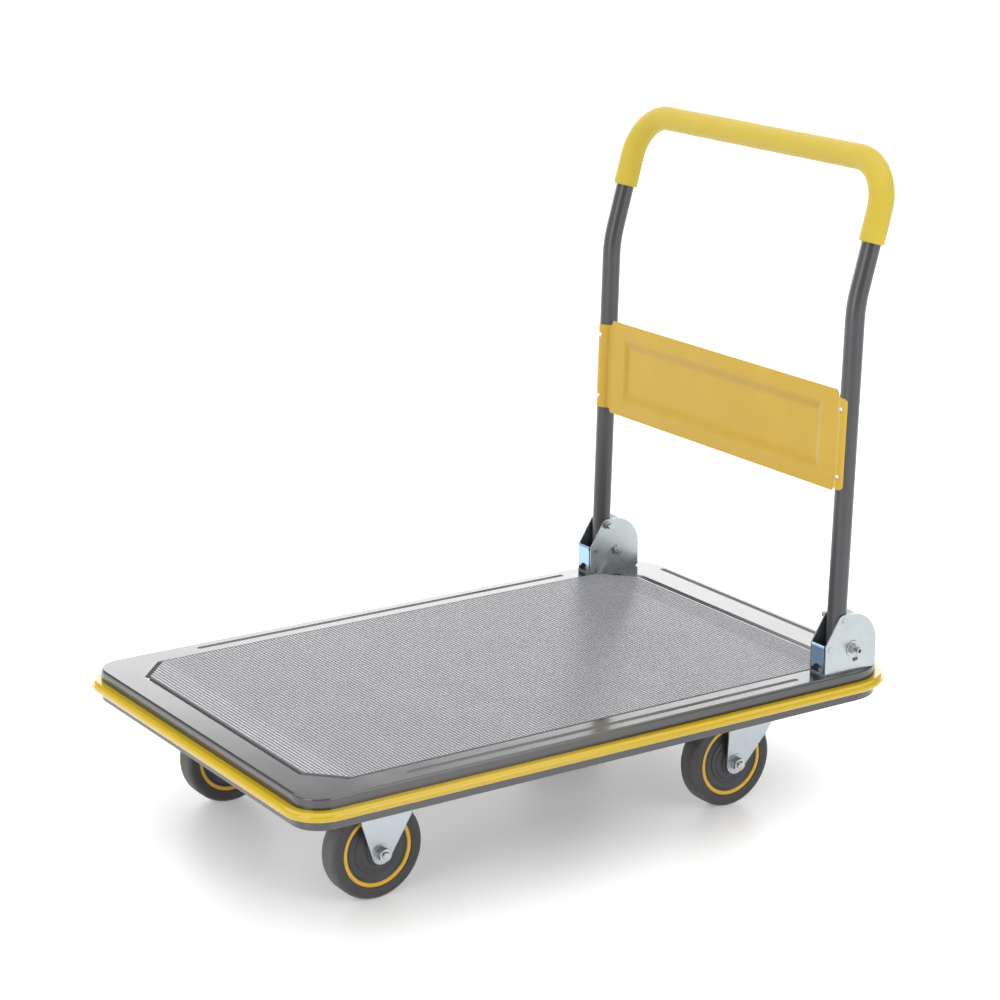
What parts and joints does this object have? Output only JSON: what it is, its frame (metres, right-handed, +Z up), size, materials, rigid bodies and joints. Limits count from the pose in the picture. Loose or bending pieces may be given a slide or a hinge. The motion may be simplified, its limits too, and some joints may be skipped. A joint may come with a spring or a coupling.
{
  "type": "platform trolley",
  "caption": "Flat-bed platform trolley with a ribbed mat, soft edge bumper, fixed and swivel castors and a fold-down tubular push handle with a sheet panel.",
  "frame": {"origin": "on the floor under the middle of the platform", "axes": "+X towards the handle end, +Y to the right-hand side of a person who pushes, +Z up"},
  "size_m": [0.8992, 0.5836, 0.847],
  "materials": {
    "deck_paint": "semi-gloss charcoal powder paint",
    "mat_rubber": "fine ribbed grey rubber",
    "bumper_vinyl": "glossy yellow soft vinyl",
    "channel_paint": "semi-gloss charcoal powder paint",
    "fastener_zinc": "bright zinc plate",
    "sleeve_steel": "oiled steel",
    "tube_paint": "semi-gloss charcoal powder paint",
    "grip_foam": "soft matt yellow foamed vinyl",
    "panel_paint": "gloss amber-yellow paint",
    "rivet_aluminium": "satin",
    "castor_zinc": "bright zinc plate, bluish",
    "bracket_zinc": "bright zinc plate, bluish",
    "latch_zinc": "bright zinc plate, bluish",
    "spring_steel": "spring wire",
    "tyre_rubber": "smooth dark rubber",
    "rim_yellow": "moulded yellow plastic",
    "hub_plastic": "moulded dark plastic"
  },
  "bodies": {
    "platform": {"deck": "deck_paint", "deck_mat": "mat_rubber", "bumper_strip": "bumper_vinyl", "front_crossmember": "channel_paint", "rear_crossmember": "channel_paint", "stiffener_rails": "channel_paint", "castor_bolts": "fastener_zinc", "castor_nuts": "fastener_zinc", "front_axle_bolts": "fastener_zinc", "front_axle_nuts": "fastener_zinc", "front_axle_sleeves": "sleeve_steel", "rear_kingpins": "fastener_zinc", "front_left_fork": "castor_zinc", "front_right_fork": "castor_zinc", "rear_left_top_plate": "castor_zinc", "rear_right_top_plate": "castor_zinc", "bracket_left": "bracket_zinc", "bracket_right": "bracket_zinc", "handle_pivot_pins": "fastener_zinc", "latch_bolts": "fastener_zinc", "latch_washers": "fastener_zinc", "latch_nuts": "fastener_zinc", "latch_stop_pins": "fastener_zinc", "bracket_bolts": "fastener_zinc", "bracket_nuts": "fastener_zinc"},
    "handle": {"handle_tube": "tube_paint", "handle_grip": "grip_foam", "handle_panel": "panel_paint", "panel_rivets": "rivet_aluminium"},
    "latch_left": {"latch_left": "latch_zinc", "latch_spring_left": "spring_steel"},
    "swivel_left": {"rear_left_yoke": "castor_zinc", "rear_left_ball_race": "sleeve_steel", "rear_left_axle_bolt": "fastener_zinc", "rear_left_axle_nut": "fastener_zinc", "rear_left_axle_sleeve": "sleeve_steel"},
    "wheel_front_left": {"front_left_tyre": "tyre_rubber", "front_left_rim": "rim_yellow", "front_left_hub": "hub_plastic", "front_left_bearing": "sleeve_steel"},
    "wheel_rear_left": {"rear_left_tyre": "tyre_rubber", "rear_left_rim": "rim_yellow", "rear_left_hub": "hub_plastic", "rear_left_bearing": "sleeve_steel"},
    "latch_right": {"latch_right": "latch_zinc", "latch_spring_right": "spring_steel"},
    "swivel_right": {"rear_right_yoke": "castor_zinc", "rear_right_ball_race": "sleeve_steel", "rear_right_axle_bolt": "fastener_zinc", "rear_right_axle_nut": "fastener_zinc", "rear_right_axle_sleeve": "sleeve_steel"},
    "wheel_front_right": {"front_right_tyre": "tyre_rubber", "front_right_rim": "rim_yellow", "front_right_hub": "hub_plastic", "front_right_bearing": "sleeve_steel"},
    "wheel_rear_right": {"rear_right_tyre": "tyre_rubber", "rear_right_rim": "rim_yellow", "rear_right_hub": "hub_plastic", "rear_right_bearing": "sleeve_steel"}
  },
  "joints": [
    {"name": "handle_fold", "type": "hinge", "parent": "platform", "child": "handle", "pos_m": [0.3523, 0, 0.251], "axis": [0, -1, 0], "range_deg": [0, 98.5]},
    {"name": "latch_left_press", "type": "hinge", "parent": "platform", "child": "latch_left", "pos_m": [0.369, -0.257, 0.212], "axis": [0, -1, 0], "range_deg": [0, 5], "stiffness_Nm_per_rad": 0.5, "springref_deg": -17.19},
    {"name": "rear_left_swivel", "type": "hinge", "parent": "platform", "child": "swivel_left", "pos_m": [0.272, -0.182, 0.1477], "axis": [0, 0, 1], "continuous": true},
    {"name": "front_left_wheel_spin", "type": "hinge", "parent": "platform", "child": "wheel_front_left", "pos_m": [-0.296, -0.182, 0.0625], "axis": [0, 1, 0], "continuous": true},
    {"name": "rear_left_wheel_spin", "type": "hinge", "parent": "swivel_left", "child": "wheel_rear_left", "pos_m": [0.236, -0.182, 0.0625], "axis": [0, 1, 0], "continuous": true},
    {"name": "latch_right_press", "type": "hinge", "parent": "platform", "child": "latch_right", "pos_m": [0.369, 0.257, 0.212], "axis": [0, -1, 0], "range_deg": [0, 5], "stiffness_Nm_per_rad": 0.5, "springref_deg": -17.19},
    {"name": "rear_right_swivel", "type": "hinge", "parent": "platform", "child": "swivel_right", "pos_m": [0.272, 0.182, 0.1477], "axis": [0, 0, 1], "continuous": true},
    {"name": "front_right_wheel_spin", "type": "hinge", "parent": "platform", "child": "wheel_front_right", "pos_m": [-0.296, 0.182, 0.0625], "axis": [0, 1, 0], "continuous": true},
    {"name": "rear_right_wheel_spin", "type": "hinge", "parent": "swivel_right", "child": "wheel_rear_right", "pos_m": [0.236, 0.182, 0.0625], "axis": [0, 1, 0], "continuous": true}
  ]
}
